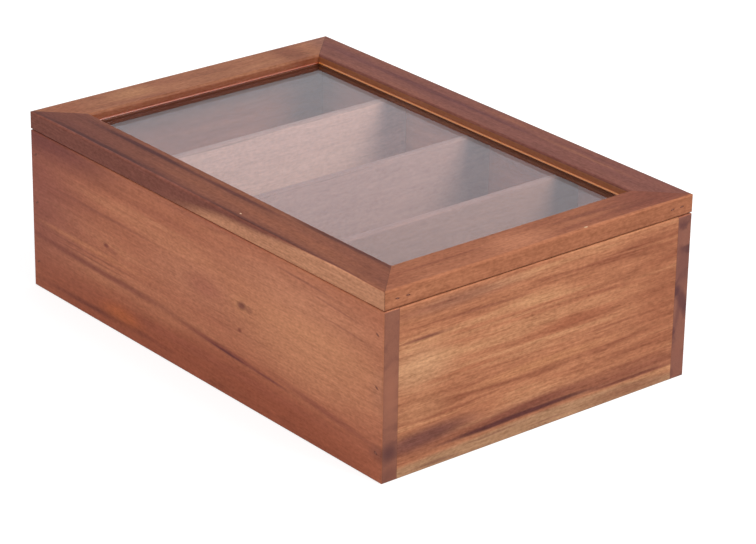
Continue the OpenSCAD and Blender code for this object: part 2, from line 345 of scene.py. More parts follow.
    def _fibres(self) -> bpy.types.NodeTree:
        """Short streaks, fibres, flecks and pores over a tone, with the height that they give the varnish."""
        graph, given, made = self._open(
            "Wood fibres",
            {
                "Color": WOOD,
                "Vector": PLACE,
                "Along": ALONG,
                "Lines": ("Float", 0.5),
                "Fibres": ("Float", 0.3),
                "Flecks": ("Float", 0.5),
                "Mottle": ("Float", 0.2),
                "Pores": ("Float", 0.2),
            },
            {"Color": "Color", "Height": "Float", "Gloss": "Float"},
        )
        place, along = given.outputs["Vector"], given.outputs["Along"]
        layers = {
            name: graph.noise(graph.stretch(place, along, across, length), detail, rough, twist).outputs[0]
            for name, (across, length, detail, rough, twist) in self.LAYERS.items()
        }
        level: object = 1.0
        for name, layer in layers.items():
            swing = graph.times(graph.minus(layer, 0.5), given.outputs[name])
            level = graph.plus(level, swing)
        pore = graph.noise(graph.stretch(place, along, 0.34, 4.5), 1.0).outputs[0]
        open_pore = graph.remap(pore, 0.66, 0.78)
        level = graph.minus(level, graph.times(open_pore, given.outputs["Pores"]))
        level = graph.math("MAXIMUM", level, 0.05)
        red = graph.math("POWER", level, 0.85)
        blue = graph.math("POWER", level, 1.1)
        shade = graph.add("ShaderNodeCombineColor", {0: red, 1: level, 2: blue}).outputs[0]
        graph.feed(made.inputs["Color"], graph.blend(1.0, given.outputs["Color"], shade, "MULTIPLY"))
        height = graph.minus(layers["Fibres"], graph.times(open_pore, 0.9))
        graph.feed(made.inputs["Height"], height)
        graph.feed(made.inputs["Gloss"], graph.minus(1.0, open_pore))
        return graph.tree

    def _end_grain(self) -> bpy.types.NodeTree:
        """Darker wood with rings where a face lies across the grain."""
        graph, given, made = self._open(
            "End grain",
            {
                "Color": WOOD,
                "Vector": PLACE,
                "Along": ALONG,
                "Pith": ("Vector", (0, 0, -120)),
                "Tint": ("Color", (0.2, 0.08, 0.06, 1)),
                "Ring Color": ("Color", (0.12, 0.05, 0.04, 1)),
                "Ring Width": ("Float", 4.0),
                "Ring Strength": ("Float", 0.5),
                "Amount": ("Float", 1.0),
            },
            {"Color": "Color"},
        )
        along = given.outputs["Along"]
        normal = graph.add("ShaderNodeTexCoord").outputs["Normal"]
        facing = graph.math("ABSOLUTE", graph.vector("DOT_PRODUCT", normal, along).outputs["Value"])
        mask = graph.times(graph.remap(facing, 0.6, 0.9), given.outputs["Amount"])
        from_pith = graph.vector("SUBTRACT", given.outputs["Vector"], given.outputs["Pith"]).outputs[0]
        depth = graph.vector("DOT_PRODUCT", from_pith, along).outputs["Value"]
        flat = graph.vector("SUBTRACT", from_pith, graph.scaled(along, depth)).outputs[0]
        wobble = graph.noise(graph.scaled(given.outputs["Vector"], 1 / 15), 3.0, 0.55).outputs[0]
        reach = graph.vector("LENGTH", flat).outputs["Value"]
        turn = graph.plus(reach, graph.times(wobble, 16.0))
        phase = graph.times(graph.math("DIVIDE", turn, given.outputs["Ring Width"]), math.tau)
        wave = graph.math("SINE", phase)
        ring = graph.times(graph.remap(wave, -0.2, 1.0), graph.remap(wobble, 0.35, 0.65))
        spots = graph.noise(graph.scaled(given.outputs["Vector"], 1 / 0.5), 1.0).outputs[0]
        base = graph.blend(0.8, given.outputs["Color"], given.outputs["Tint"])
        ring_share = graph.times(ring, given.outputs["Ring Strength"])
        ringed = graph.blend(ring_share, base, given.outputs["Ring Color"])
        specked = graph.blend(graph.remap(spots, 0.5, 0.85, 0, 0.35), ringed, given.outputs["Ring Color"])
        graph.feed(made.inputs["Color"], graph.blend(mask, given.outputs["Color"], specked))
        return graph.tree

    def _edge_wear(self) -> bpy.types.NodeTree:
        """Marks the edges of a block between two corners, uneven as handling leaves them."""
        graph, given, made = self._open(
            "Edge wear",
            {
                "Color": WOOD,
                "Vector": PLACE,
                "Low": ("Vector", (0, 0, 0)),
                "High": ("Vector", (1, 1, 1)),
                "Reach": ("Float", 1.2),
                "Tint": ("Color", (0.6, 0.35, 0.2, 1)),
                "Amount": ("Float", 0.5),
            },
            {"Color": "Color"},
        )
        place = given.outputs["Vector"]
        below = graph.vector("SUBTRACT", place, given.outputs["Low"]).outputs[0]
        above = graph.vector("SUBTRACT", given.outputs["High"], place).outputs[0]
        nearest = graph.vector("MINIMUM", below, above).outputs[0]
        parts = graph.add("ShaderNodeSeparateXYZ", {0: nearest}).outputs
        least = graph.math("MINIMUM", graph.math("MINIMUM", parts[0], parts[1]), parts[2])
        most = graph.math("MAXIMUM", graph.math("MAXIMUM", parts[0], parts[1]), parts[2])
        total = graph.plus(graph.plus(parts[0], parts[1]), parts[2])
        edge = graph.minus(graph.minus(total, least), most)
        uneven = graph.noise(graph.scaled(place, 1 / 7), 3.0, 0.6).outputs[0]
        limit = graph.times(given.outputs["Reach"], graph.plus(uneven, 0.5))
        near = graph.remap(graph.math("DIVIDE", edge, limit), 0.35, 1.0, 1.0, 0.0)
        mask = graph.times(near, given.outputs["Amount"])
        graph.feed(made.inputs["Color"], graph.blend(mask, given.outputs["Color"], given.outputs["Tint"]))
        return graph.tree

    def _joint(self) -> bpy.types.NodeTree:
        """Thin dark line of a glued joint, along a plane in coordinates that are mirrored about the middle."""
        graph, given, made = self._open(
            "Joint line",
            {
                "Color": WOOD,
                "Vector": PLACE,
                "Plane": ("Vector", (0, 1, 0)),
                "Distance": ("Float", 0.0),
                "Width": ("Float", 0.3),
                "Tint": ("Color", (0.08, 0.03, 0.02, 1)),
                "Amount": ("Float", 0.6),
            },
            {"Color": "Color"},
        )
        mirrored = graph.vector("ABSOLUTE", given.outputs["Vector"]).outputs[0]
        depth = graph.vector("DOT_PRODUCT", mirrored, given.outputs["Plane"]).outputs["Value"]
        away = graph.math("ABSOLUTE", graph.minus(depth, given.outputs["Distance"]))
        near = graph.remap(graph.math("DIVIDE", away, given.outputs["Width"]), 0.3, 1.0, 1.0, 0.0)
        share = graph.times(near, given.outputs["Amount"])
        graph.feed(made.inputs["Color"], graph.blend(share, given.outputs["Color"], given.outputs["Tint"]))
        return graph.tree

    def _lip(self) -> bpy.types.NodeTree:
        """Warmer, thicker varnish on the lip and bead inside the lid's frame, whose tint also paints the light and
        shade on each rail's lip, and painted shade below the pane.
        """
        graph, given, made = self._open(
            "Glossy lip and painted shade",
            {
                "Color": WOOD,
                "Vector": PLACE,
                "Opening": ("Vector", (135, 83, 0)),
                "Tint": ("Color", (0.3, 0.1, 0.03, 1)),
                "Amount": ("Float", 0.92),
                "Shade Below Height": ("Float", 100.6),
                "Shade Below Tint": ("Color", (0.12, 0.034, 0.013, 1)),
            },
            {"Color": "Color", "Mask": "Float"},
        )
        mirrored = graph.vector("ABSOLUTE", given.outputs["Vector"]).outputs[0]
        inward = graph.vector("SUBTRACT", given.outputs["Opening"], mirrored).outputs[0]
        parts = graph.add("ShaderNodeSeparateXYZ", {0: inward}).outputs
        mask = graph.remap(graph.math("MINIMUM", parts[0], parts[1]), -0.2, 0.3)
        share = graph.times(mask, given.outputs["Amount"])
        lipped = graph.blend(share, given.outputs["Color"], given.outputs["Tint"])
        # Painted shade: below the pane's height the lip takes a dark tint, where the frame lies in shade.
        height = graph.add("ShaderNodeSeparateXYZ", {0: given.outputs["Vector"]}).outputs[2]
        shade_below = graph.times(graph.math("LESS_THAN", height, given.outputs["Shade Below Height"]), share)
        graph.feed(made.inputs["Color"], graph.blend(shade_below, lipped, given.outputs["Shade Below Tint"]))
        graph.feed(made.inputs["Mask"], mask)
        return graph.tree

    def _tarnish(self) -> bpy.types.NodeTree:
        """Dulling, brushing and small pits of metal."""
        graph, given, made = self._open(
            "Tarnish",
            {
                "Color": ("Color", (0.6, 0.45, 0.2, 1)),
                "Dull Color": ("Color", (0.3, 0.18, 0.08, 1)),
                "Vector": PLACE,
                "Grain": ("Vector", (1, 0, 0)),
                "Amount": ("Float", 0.5),
                "Roughness": ("Float", 0.3),
            },
            {"Color": "Color", "Roughness": "Float", "Height": "Float"},
        )
        place = graph.scaled(given.outputs["Vector"], 1 / MM)
        cloud = graph.noise(graph.scaled(place, 1 / 2.6), 4.0, 0.6).outputs[0]
        brush = graph.noise(graph.stretch(place, given.outputs["Grain"], 0.12, 6), 2.0).outputs[0]
        pit = graph.remap(graph.noise(graph.scaled(place, 1 / 0.35), 1.0).outputs[0], 0.68, 0.8)
        dull = graph.times(graph.remap(cloud, 0.4, 0.72), given.outputs["Amount"])
        both = graph.math("MAXIMUM", dull, graph.times(pit, 0.6))
        graph.feed(made.inputs["Color"], graph.blend(both, given.outputs["Color"], given.outputs["Dull Color"]))
        rough = graph.plus(given.outputs["Roughness"], graph.times(both, 0.3))
        graph.feed(made.inputs["Roughness"], graph.plus(rough, graph.times(brush, 0.1)))
        graph.feed(made.inputs["Height"], graph.minus(brush, pit))
        return graph.tree


@dataclass(frozen=True)
class Patch:
    """A soft area of another tone. Lengths are millimetres in the model's frame.

    Attributes:
        place: Middle of the area.
        size: Half sizes along its own axes.
        tint: Display colour at its middle.
        strength: Share of the tint there.
        turn: Degrees that it is turned about X, Y and Z.
        core: Share of the size that keeps the full strength.
    """

    place: Triple
    size: Triple
    tint: Shade
    strength: float = 0.6
    turn: Triple = (0.0, 0.0, 0.0)
    core: float = 0.1


@dataclass(frozen=True)
class WoodFinish:
    """Varnished or plain wood for one piece, with the streaks and knots of that piece.

    Attributes:
        name: Name of the material.
        along: Direction of the grain.
        light: Display colour of the palest wood.
        middle: Display colour of most of the wood.
        dark: Display colour of the darkest bands.
        low: Lower corner of the block whose edges are worn, in millimetres.
        high: Upper corner of that block, in millimetres.
        offset: Shift of the bands, so that no two pieces have the same figure.
        band_width: Width of one band across the grain.
        band_contrast: How far the bands swing between pale and dark.
        sway: How far the bands bend.
        lines: Strength of the short streaks.
        fibres: Strength of the fibres.
        flecks: Strength of the flecks.
        mottle: Strength of the cloudy spots.
        pores: Darkness of the open pores.
        patches: Streaks, knots and tones on the long grain, and on some pieces painted light and shade.
        end_patches: Tones on the end grain.
        marks: Stains about the brads, the same on all mirrored places.
        end_tint: Display colour of the end grain.
        ring_tint: Display colour of its rings.
        pith: Middle of the rings.
        ring_width: Distance between two rings.
        ring_strength: Darkness of the rings.
        end_amount: Share of the end grain's look, 0 where the piece shows none.
        wear_tint: Display colour of the worn edges.
        wear: Share of that colour on the edges.
        wear_reach: Width of the worn edges.
        joints: Planes of glued joints, as a direction and a distance in mirrored millimetres.
        lip_tint: Display colour of the lip inside the lid's frame, where the piece has one. It is set apart for each
            rail and also paints the light and shade on that rail's lip.
        roughness: Roughness of the varnish.
        pore_dull: How much rougher the open pores are.
        shine: Specular level of the varnish.
        coat_roughness: Roughness of the thicker varnish on the lip.
        coat_ior: Index of refraction of that varnish.
        bump: Strength of the relief.
        bump_depth: Depth of the relief.
    """

    name: str
    along: Axis
    light: Shade
    middle: Shade
    dark: Shade
    low: Triple
    high: Triple
    offset: Triple = (0.0, 0.0, 0.0)
    band_width: float = 12.0
    band_contrast: float = 0.5
    sway: float = 4.0
    lines: float = 0.5
    fibres: float = 0.3
    flecks: float = 0.6
    mottle: float = 0.25
    pores: float = 0.15
    patches: tuple[Patch, ...] = ()
    end_patches: tuple[Patch, ...] = ()
    marks: tuple[Patch, ...] = ()
    end_tint: Shade = (128, 78, 68)
    ring_tint: Shade = (88, 48, 46)
    pith: Triple = (0.0, -60.0, -90.0)
    ring_width: float = 6.0
    ring_strength: float = 0.45
    end_amount: float = 1.0
    wear_tint: Shade = (200, 136, 98)
    wear: float = 0.1
    wear_reach: float = 0.9
    joints: tuple[tuple[Triple, float], ...] = ()
    lip_tint: Shade | None = None
    roughness: float = 0.5
    pore_dull: float = 0.12
    shine: float = 0.12
    coat_roughness: float = 0.22
    coat_ior: float = 1.7
    bump: float = 0.3
    bump_depth: float = 0.05

    def build(self, groups: ShaderGroups) -> bpy.types.Material:
        """Makes the material.

        Args:
            groups: The shared shader groups.

        Returns:
            The new material.
        """
        material = bpy.data.materials.new(self.name)
        graph = fresh_graph(material)
        seen = graph.add("ShaderNodeTexCoord").outputs["Object"]
        place = graph.scaled(seen, 1 / MM)
        wires = {
            "Vector": seen,
            "Along": self.along.value,
            "Offset": self.offset,
            "Light": tone(*self.light),
            "Middle": tone(*self.middle),
            "Dark": tone(*self.dark),
            "Band Width": self.band_width,
            "Band Contrast": self.band_contrast,
            "Sway": self.sway,
        }
        figure = graph.group(groups.figure, wires).outputs
        wires = {
            "Color": self._patched(graph, groups, figure["Color"], figure["Bent"], self.patches),
            "Vector": figure["Bent"],
            "Along": self.along.value,
            "Lines": self.lines,
            "Fibres": self.fibres,
            "Flecks": self.flecks,
            "Mottle": self.mottle,
            "Pores": self.pores,
        }
        fibres = graph.group(groups.fibres, wires).outputs
        color = self._ended(graph, groups, fibres["Color"], place)
        color = self._edged(graph, groups, color, place)
        gloss: object = 0.0
        if self.lip_tint:
            wires = {"Color": color, "Vector": place, "Tint": tone(*self.lip_tint)}
            lip = graph.group(groups.lip, wires).outputs
            color, gloss = lip["Color"], lip["Mask"]
        if self.marks:
            mirrored = graph.vector("ABSOLUTE", place).outputs[0]
            color = self._patched(graph, groups, color, mirrored, self.marks)
        filled = graph.times(fibres["Gloss"], self.pore_dull)
        wires = {"Strength": self.bump, "Distance": self.bump_depth * MM, "Height": fibres["Height"]}
        wires = {
            "Base Color": color,
            "Roughness": graph.minus(self.roughness + self.pore_dull, filled),
            "Normal": graph.add("ShaderNodeBump", wires).outputs[0],
            "Specular IOR Level": self.shine,
            "Coat Weight": gloss,
            "Coat Roughness": self.coat_roughness,
            "Coat IOR": self.coat_ior,
        }
        shader = graph.add("ShaderNodeBsdfPrincipled", wires)
        graph.add("ShaderNodeOutputMaterial", {"Surface": shader.outputs[0]})
        return material

    def _ended(self, graph: Graph, groups: ShaderGroups, color: Socket, place: Socket) -> Socket:
        """Returns color with the end grain and the tones on it."""
        wires = {
            "Color": color,
            "Vector": place,
            "Along": self.along.value,
            "Pith": self.pith,
            "Tint": tone(*self.end_tint),
            "Ring Color": tone(*self.ring_tint),
            "Ring Width": self.ring_width,
            "Ring Strength": self.ring_strength,
            "Amount": self.end_amount,
        }
        color = graph.group(groups.end_grain, wires).outputs["Color"]
        return self._patched(graph, groups, color, place, self.end_patches)

    def _edged(self, graph: Graph, groups: ShaderGroups, color: Socket, place: Socket) -> Socket:
        """Returns color with worn edges and the lines of the glued joints."""
        wires = {
            "Color": color,
            "Vector": place,
            "Low": self.low,
            "High": self.high,
            "Reach": self.wear_reach,
            "Tint": tone(*self.wear_tint),
            "Amount": self.wear,
        }
        color = graph.group(groups.edge_wear, wires).outputs["Color"]
        for plane, distance in self.joints:
            wires = {"Color": color, "Vector": place, "Plane": plane, "Distance": distance}
            color = graph.group(groups.joint, wires).outputs["Color"]
        return color

    @staticmethod
    def _patched(
        graph: Graph, groups: ShaderGroups, color: Socket, place: Socket, patches: Iterable[Patch]
    ) -> Socket:
        """Returns color with patches laid over it, the last one on top."""
        for patch in patches:
            wires = {
                "Color": color,
                "Vector": place,
                "Place": patch.place,
                "Turn": tuple(math.radians(angle) for angle in patch.turn),
                "Size": patch.size,
                "Tint": tone(*patch.tint),
                "Strength": patch.strength,
                "Core": patch.core,
            }
            color = graph.group(groups.patch, wires).outputs["Color"]
        return color


@dataclass(frozen=True)
class MetalFinish:
    """Metal of the hinges, screws and brads, or with no metal in it the putty over the brads."""

    name: str
    color: Shade
    dull: Shade
    grain: Axis = Axis.X
    amount: float = 0.5
    roughness: float = 0.3
    metallic: float = 1.0
    bump: float = 0.2
    bump_depth: float = 0.02

    def build(self, groups: ShaderGroups) -> bpy.types.Material:
        """Makes the material.

        Args:
            groups: The shared shader groups.

        Returns:
            The new material.
        """
        material = bpy.data.materials.new(self.name)
        graph = fresh_graph(material)
        wires = {
            "Color": tone(*self.color),
            "Dull Color": tone(*self.dull),
            "Vector": graph.add("ShaderNodeTexCoord").outputs["Object"],
            "Grain": self.grain.value,
            "Amount": self.amount,
            "Roughness": self.roughness,
        }
        tarnish = graph.group(groups.tarnish, wires).outputs
        wires = {"Strength": self.bump, "Distance": self.bump_depth * MM, "Height": tarnish["Height"]}
        wires = {
            "Metallic": self.metallic,
            "Base Color": tarnish["Color"],
            "Roughness": tarnish["Roughness"],
            "Normal": graph.add("ShaderNodeBump", wires).outputs[0],
        }
        shader = graph.add("ShaderNodeBsdfPrincipled", wires)
        graph.add("ShaderNodeOutputMaterial", {"Surface": shader.outputs[0]})
        return material


@dataclass(frozen=True)
class PaneFinish:
    """Clear pane that mirrors the room and lets the lamps through to the bays, and dims and blues the soft room light
    that reaches them, which adds shade in the bays.
    """

    name: str = "clear_pane"
    color: Shade = (243, 245, 252)
    ior: float = 1.37
    mirror_tint: tuple[float, float, float, float] = (0.8, 0.75, 1.0, 1.0)
    lamp_tint: tuple[float, float, float, float] = (1.0, 0.98, 0.97, 1.0)
    # The room tint dims and blues the soft light that passes the pane into the bays: shade added there, which clear
    # glass would not give.
    room_tint: tuple[float, float, float, float] = (0.5, 0.47, 0.7, 1.0)

    def build(self) -> bpy.types.Material:
        """Returns the new material."""
        material = bpy.data.materials.new(self.name)
        graph = fresh_graph(material)
        place = graph.scaled(graph.add("ShaderNodeTexCoord").outputs["Object"], 1 / MM)
        smear = graph.noise(graph.scaled(place, 1 / 35), 4.0, 0.6).outputs[0]
        glass = graph.add(
            "ShaderNodeBsdfPrincipled",
            {
                "Base Color": tone(*self.color),
                "IOR": self.ior,
                "Transmission Weight": 1.0,
                "Specular Tint": self.mirror_tint,
                "Roughness": graph.remap(smear, 0.45, 0.8, 0.0, 0.03),
            },
        )
        path = graph.add("ShaderNodeLightPath").outputs
        passing = graph.math("MAXIMUM", path["Is Shadow Ray"], path["Is Diffuse Ray"])
        tint = graph.blend(path["Is Diffuse Ray"], self.lamp_tint, self.room_tint)
        clear = graph.add("ShaderNodeBsdfTransparent", {"Color": tint})
        mixed = graph.add("ShaderNodeMixShader", {0: passing, 1: glass.outputs[0], 2: clear.outputs[0]})
        graph.add("ShaderNodeOutputMaterial", {"Surface": mixed.outputs[0]})
        return material


def dress(node: str, material: bpy.types.Material) -> bpy.types.Object:
    """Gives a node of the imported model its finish.

    Args:
        node: Name of the node.
        material: The finish.

    Returns:
        The node's object.
    """
    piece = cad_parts[node]
    piece.data.materials.clear()
    piece.data.materials.append(material)
    for polygon in piece.data.polygons:
        polygon.material_index = 0
    LOG.info("%s: dressed in %s", node, material.name)
    return piece


class GrownShapes:
    """The Geometry Nodes trees, each built once, and the way a piece is grown from one."""

    def __init__(self) -> None:
        """Builds every tree."""
        self.fastener = self._fastener()
        self.boards = self._boards()

    @staticmethod
    def _open(name: str, inputs: dict[str, tuple]) -> tuple[Graph, bpy.types.Node]:
        """Starts a tree.

        Args:
            name: The tree's name.
            inputs: Socket name to its type and default.

        Returns:
            The graph and the node that gives the inputs.
        """
        tree = bpy.data.node_groups.new(name, "GeometryNodeTree")
        tree.is_modifier = True
        tree.interface.new_socket("Geometry", in_out="INPUT", socket_type="NodeSocketGeometry")
        for label, (kind, default) in inputs.items():
            socket = tree.interface.new_socket(label, in_out="INPUT", socket_type="NodeSocket" + kind)
            if default is not None:
                socket.default_value = default
        tree.interface.new_socket("Geometry", in_out="OUTPUT", socket_type="NodeSocketGeometry")
        graph = Graph(tree)
        return graph, graph.add("NodeGroupInput")

    @staticmethod
    def _close(graph: Graph, instances: Socket, finish: Socket) -> None:
        """Ends a tree: its instances are made real and take the finish."""
        real = graph.add("GeometryNodeRealizeInstances", {"Geometry": instances}).outputs[0]
        dressed = graph.add("GeometryNodeSetMaterial", {"Geometry": real, "Material": finish}).outputs[0]
        graph.add("NodeGroupOutput", {0: dressed})

    def _fastener(self) -> bpy.types.NodeTree:
        """A turned screw, brad, pin or plug at each point, its head towards the point's aim."""
        graph, given = self._open(
            "Turned fastener",
            {
                "Head Radius": ("Float", 0.002),
                "Head Depth": ("Float", 0.001),
                "Dome": ("Float", 0.0),
                "Shank Radius": ("Float", 0.001),
                "Length": ("Float", 0.01),
                "Tip": ("Float", 0.001),
                "Thread": ("Float", 0.0),
                "Pitch": ("Float", 0.001),
                "Recess": ("Bool", False),
                "Sides": ("Int", 13),
                "Rows": ("Int", 24),
                "Seed": ("Int", 0),
                "Finish": ("Material", None),
            },
        )
        value = given.outputs
        wires = {"Size X": 1.0, "Size Y": 1.0, "Vertices X": value["Sides"], "Vertices Y": value["Rows"]}
        sheet = graph.add("GeometryNodeMeshGrid", wires).outputs[0]
        place = graph.add("ShaderNodeSeparateXYZ", {0: graph.add("GeometryNodeInputPosition").outputs[0]}).outputs
        around, down = graph.plus(place[0], 0.5), graph.plus(place[1], 0.5)
        cap, cone, shank, tip = (graph.ramp(down, *span) for span in ((0, 0.1), (0.1, 0.22), (0.22, 0.9), (0.9, 1)))
        step = graph.minus(value["Head Radius"], value["Shank Radius"])
        radius = graph.times(cap, value["Head Radius"])
        radius = graph.minus(radius, graph.times(cone, step))
        radius = graph.minus(radius, graph.times(tip, value["Shank Radius"]))
        rest = graph.minus(graph.minus(value["Length"], value["Head Depth"]), value["Tip"])
        crown = graph.times(graph.minus(1.0, graph.times(cap, cap)), value["Dome"])
        height = graph.minus(crown, graph.times(cone, value["Head Depth"]))
        height = graph.minus(height, graph.times(shank, rest))
        height = graph.minus(height, graph.times(tip, value["Tip"]))
        turns = graph.minus(around, graph.math("DIVIDE", height, value["Pitch"]))
        ridge = graph.times(graph.math("PINGPONG", turns, 0.5), 2.0)
        groove = graph.times(graph.minus(1.0, ridge), value["Thread"])
        threaded = graph.times(graph.ramp(down, 0.24, 0.3), graph.minus(1.0, tip))
        radius = graph.minus(radius, graph.times(groove, threaded))
        angle = graph.times(around, math.tau)
        x = graph.times(radius, graph.math("COSINE", angle))
        y = graph.times(radius, graph.math("SINE", angle))
        rolled = graph.add("GeometryNodeSetPosition", {"Geometry": sheet, "Position": graph.triple(x, y, height)})
        closed = graph.add("GeometryNodeMergeByDistance", {"Geometry": rolled.outputs[0], "Distance": 0.002 * MM})
        long = graph.times(value["Head Radius"], 1.25)
        slim = graph.times(value["Head Radius"], 0.3)
        deep = graph.times(value["Head Depth"], 1.1)
        cutters = [
            graph.add("GeometryNodeMeshCube", {"Size": graph.triple(*size, deep)}).outputs[0]
            for size in ((long, slim), (slim, long))
        ]
        cut = graph.add("GeometryNodeMeshBoolean", {"Mesh 1": closed.outputs[0]}, operation="DIFFERENCE")
        for cutter in cutters:
            graph.feed(cut.inputs["Mesh 2"], cutter)
        chosen = graph.add("GeometryNodeSwitch", input_type="GEOMETRY")
        graph.feed(chosen.inputs["Switch"], value["Recess"])
        graph.feed(chosen.inputs["False"], closed.outputs[0])
        graph.feed(chosen.inputs["True"], cut.outputs[0])
        aim = graph.add("GeometryNodeInputNamedAttribute", {"Name": "aim"}, data_type="FLOAT_VECTOR").outputs[0]
        faced = graph.add("FunctionNodeAlignRotationToVector", {"Vector": aim}, axis="Z").outputs[0]
        chance = graph.add("FunctionNodeRandomValue", {2: 0.0, 3: math.tau, "Seed": value["Seed"]}, data_type="FLOAT")
        turn = graph.add("FunctionNodeAxisAngleToRotation", {"Axis": (0, 0, 1), "Angle": chance.outputs[1]})
        spun = graph.add(
            "FunctionNodeRotateRotation", {"Rotation": faced, "Rotate By": turn.outputs[0]}, rotation_space="LOCAL"
        )
        wires = {"Points": value["Geometry"], "Instance": chosen.outputs[0], "Rotation": spun.outputs[0]}
        self._close(graph, graph.add("GeometryNodeInstanceOnPoints", wires).outputs[0], value["Finish"])
        return graph.tree

    def _boards(self) -> bpy.types.NodeTree:
        """A row of equal boards with softened arrises."""
        graph, given = self._open(
            "Row of boards",
            {
                "Count": ("Int", 3),
                "First": ("Vector", (0, 0, 0)),
                "Pitch": ("Float", 0.07),
                "Thickness": ("Float", 0.005),
                "Long": ("Float", 0.2),
                "Height": ("Float", 0.09),
                "Arris": ("Float", 0.001),
                "Finish": ("Material", None),
            },
        )
        value = given.outputs
        section = graph.add(
            "GeometryNodeCurvePrimitiveQuadrilateral", {"Width": value["Thickness"], "Height": value["Height"]}
        )
        wires = {"Curve": section.outputs[0], "Count": 4, "Radius": value["Arris"], "Limit Radius": True}
        soft = graph.add("GeometryNodeFilletCurve", wires, mode="POLY")
        half = graph.times(value["Long"], 0.5)
        ends = {"Start": graph.triple(0, graph.times(half, -1.0), 0), "End": graph.triple(0, half, 0)}
        path = graph.add("GeometryNodeCurvePrimitiveLine", ends).outputs[0]
        wires = {"Curve": path, "Profile Curve": soft.outputs[0], "Fill Caps": True}
        board = graph.add("GeometryNodeCurveToMesh", wires).outputs[0]
        step = graph.triple(value["Pitch"], 0, 0)
        wires = {"Count": value["Count"], "Start Location": value["First"], "Offset": step}
        row = graph.add("GeometryNodeMeshLine", wires, mode="OFFSET").outputs[0]
        wires = {"Points": row, "Instance": board}
        self._close(graph, graph.add("GeometryNodeInstanceOnPoints", wires).outputs[0], value["Finish"])
        return graph.tree

    @staticmethod
    def grow(
        name: str,
        tree: bpy.types.NodeTree,
        values: dict[str, object],
        spots: Iterable[tuple[Triple, Triple]],
        body: BodyName,
        slot: Slot,
        nodes: tuple[str, ...],
    ) -> bpy.types.Object:
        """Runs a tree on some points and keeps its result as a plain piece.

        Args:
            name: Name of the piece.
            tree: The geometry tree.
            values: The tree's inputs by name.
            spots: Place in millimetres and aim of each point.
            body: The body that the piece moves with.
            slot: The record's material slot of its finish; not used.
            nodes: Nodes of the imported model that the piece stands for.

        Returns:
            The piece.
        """
        spots = list(spots)
        seeds = bpy.data.meshes.new(name + "_points")
        seeds.from_pydata([tuple(part * MM for part in place) for place, _ in spots], [], [])
        aims = seeds.attributes.new("aim", "FLOAT_VECTOR", "POINT")
        for number, (_, aim) in enumerate(spots):
            aims.data[number].vector = aim
        carrier = bpy.data.objects.new(name + "_points", seeds)
        bpy.context.scene.collection.objects.link(carrier)
        modifier = carrier.modifiers.new("grown", "NODES")
        modifier.node_group = tree
        for item in tree.interface.items_tree:
            if item.item_type == "SOCKET" and item.in_out == "INPUT" and item.name in values:
                modifier[item.identifier] = values[item.name]
        bpy.context.view_layer.update()
        depsgraph = bpy.context.evaluated_depsgraph_get()
        mesh = bpy.data.meshes.new_from_object(carrier.evaluated_get(depsgraph), depsgraph=depsgraph)
        bpy.data.objects.remove(carrier)
        bpy.data.meshes.remove(seeds)
        shell = bmesh.new()
        shell.from_mesh(mesh)
        bmesh.ops.recalc_face_normals(shell, faces=shell.faces)
        shell.to_mesh(mesh)
        shell.free()
        mesh.shade_smooth()
        mesh.set_sharp_from_angle(angle=math.radians(38))
        mesh.name = name
        piece = bpy.data.objects.new(name, mesh)
        bpy.context.scene.collection.objects.link(piece)
        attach(piece, body.value)
        if nodes:
            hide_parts(*nodes)
        LOG.info("%s: %d faces from the tree '%s'", name, len(mesh.polygons), tree.name)
        return piece


